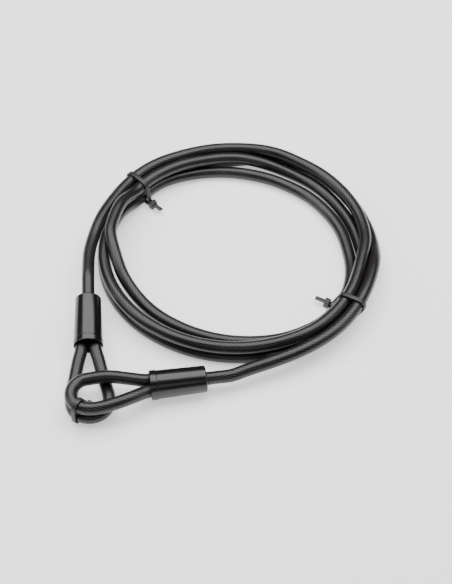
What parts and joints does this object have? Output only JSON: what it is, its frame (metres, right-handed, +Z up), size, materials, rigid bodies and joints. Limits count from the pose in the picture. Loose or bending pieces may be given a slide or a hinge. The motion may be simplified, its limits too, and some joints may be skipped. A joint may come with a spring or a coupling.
{
  "type": "looped security cable",
  "caption": "Coiled looped security cable: a plastic-jacketed steel rope with a crimped eye at each end, held by cable ties.",
  "frame": {"origin": "on the surface the coil lies on, under the middle of the whole object's box", "axes": "+Z up, the coil lies flat; the two eyes are at -X -Y, end A's fitting points along +Y and end B's along +X"},
  "size_m": [0.2425, 0.2808, 0.0301],
  "materials": {
    "jacket": "smoky black see-through vinyl, glossy",
    "cover_plastic": "satin black moulded sleeve",
    "nylon": "satin black nylon",
    "steel": "galvanised stranded steel",
    "aluminium": "pressed, dull"
  },
  "bodies": {
    "cable": {"wire_rope": "steel", "main_sheath": "jacket", "eye_sheath_a": "jacket", "eye_sheath_b": "jacket", "ferrule_a": "aluminium", "ferrule_b": "aluminium"},
    "cover_a": {"ferrule_cover_a": "cover_plastic"},
    "cover_b": {"ferrule_cover_b": "cover_plastic"},
    "tie_left": {"cable_tie_left": "nylon"},
    "tie_right": {"cable_tie_right": "nylon"},
    "tie_eyes": {"cable_tie_eyes": "nylon"}
  },
  "joints": [
    {"name": "cover_a_slide", "type": "slide", "parent": "cable", "child": "cover_a", "axis": [-0.0518, 0.9877, 0.1478], "range_m": [0, 0.012]},
    {"name": "cover_b_slide", "type": "slide", "parent": "cable", "child": "cover_b", "axis": [0.9885, 0.1513, 0], "range_m": [0, 0.012]},
    {"name": "tie_left_turn", "type": "hinge", "parent": "cable", "child": "tie_left", "pos_m": [0.00705, 0.03007, 0.012], "axis": [0, 0, 1], "range_deg": [-2.5, 2.5]},
    {"name": "tie_right_turn", "type": "hinge", "parent": "cable", "child": "tie_right", "pos_m": [0.00376, 0.02096, 0.012], "axis": [0, 0, 1], "range_deg": [-2.5, 2.5]},
    {"name": "tie_eyes_turn", "type": "hinge", "parent": "cable", "child": "tie_eyes", "pos_m": [-0.1021, -0.1217, 0.012], "axis": [0, 0, 1], "range_deg": [-10, 10]}
  ]
}
